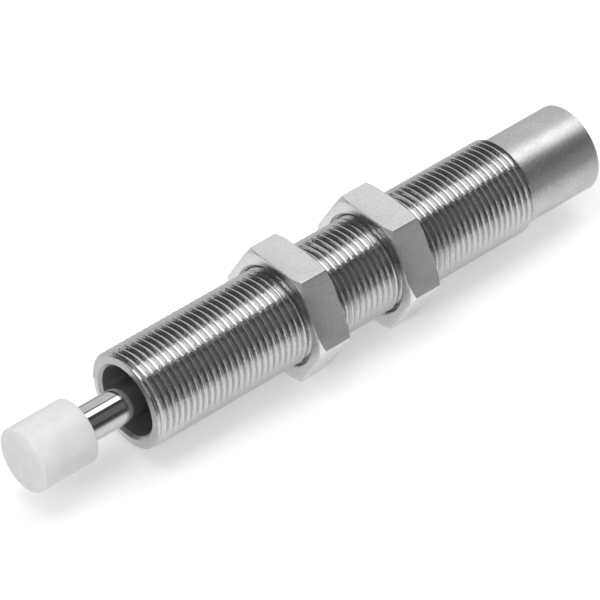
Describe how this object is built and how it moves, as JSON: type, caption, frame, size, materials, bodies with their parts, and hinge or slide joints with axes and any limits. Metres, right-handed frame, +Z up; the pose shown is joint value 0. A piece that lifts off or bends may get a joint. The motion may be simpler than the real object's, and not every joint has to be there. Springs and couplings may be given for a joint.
{
  "type": "shock absorber",
  "caption": "Self-compensating hydraulic shock absorber: threaded steel barrel with lock nuts, chromed plunger rod and white plastic buffer cap.",
  "frame": {"origin": "centre of the barrel's stop face, the front end that the load meets at the end of the stroke", "axes": "+X along the barrel from the stop face to the rear end, so the buffer cap is on -X; +Z up, square to a flat of both lock nuts"},
  "size_m": [0.0952, 0.0196, 0.017],
  "materials": {
    "barrel_steel": "satin",
    "nut_steel": "satin",
    "cap_plastic": "matte",
    "rod_chrome": "polished",
    "inner_steel": "satin",
    "spring_steel": "satin",
    "plug_steel": "satin",
    "screw_steel": "satin",
    "bearing_bronze": "satin",
    "seal_rubber": "matte",
    "foam": "matte"
  },
  "bodies": {
    "housing": {"barrel": "barrel_steel", "wiper_ring": "seal_rubber", "rod_seal": "seal_rubber", "seal_washer": "inner_steel", "rod_bearing": "bearing_bronze", "bearing_sealing_ring": "seal_rubber", "accumulator_foam": "foam", "pressure_tube": "inner_steel", "return_spring": "spring_steel", "spring_seat": "inner_steel", "end_plug": "plug_steel", "plug_sealing_ring": "seal_rubber", "filler_screw": "screw_steel", "retaining_ring": "spring_steel"},
    "plunger": {"piston_rod": "rod_chrome", "buffer_cap": "cap_plastic", "piston_head": "inner_steel", "piston_nut": "inner_steel"},
    "check_valve": {"check_ring": "inner_steel"},
    "front_nut": {"front_lock_nut": "nut_steel"},
    "rear_nut": {"rear_lock_nut": "nut_steel"}
  },
  "joints": [
    {"name": "plunger_stroke", "type": "slide", "parent": "housing", "child": "plunger", "axis": [1, 0, 0], "range_m": [0, 0.0168], "stiffness_N_per_m": 350, "springref_m": -0.012, "deforming": ["return_spring"]},
    {"name": "check_ring_float", "type": "slide", "parent": "plunger", "child": "check_valve", "axis": [1, 0, 0], "range_m": [0, 0.0004]},
    {"name": "front_nut_travel", "type": "slide", "parent": "housing", "child": "front_nut", "axis": [1, 0, 0], "range_m": [-0.0248, 0.0054]},
    {"name": "rear_nut_travel", "type": "slide", "parent": "housing", "child": "rear_nut", "axis": [1, 0, 0], "range_m": [-0.0054, 0.0193]}
  ]
}
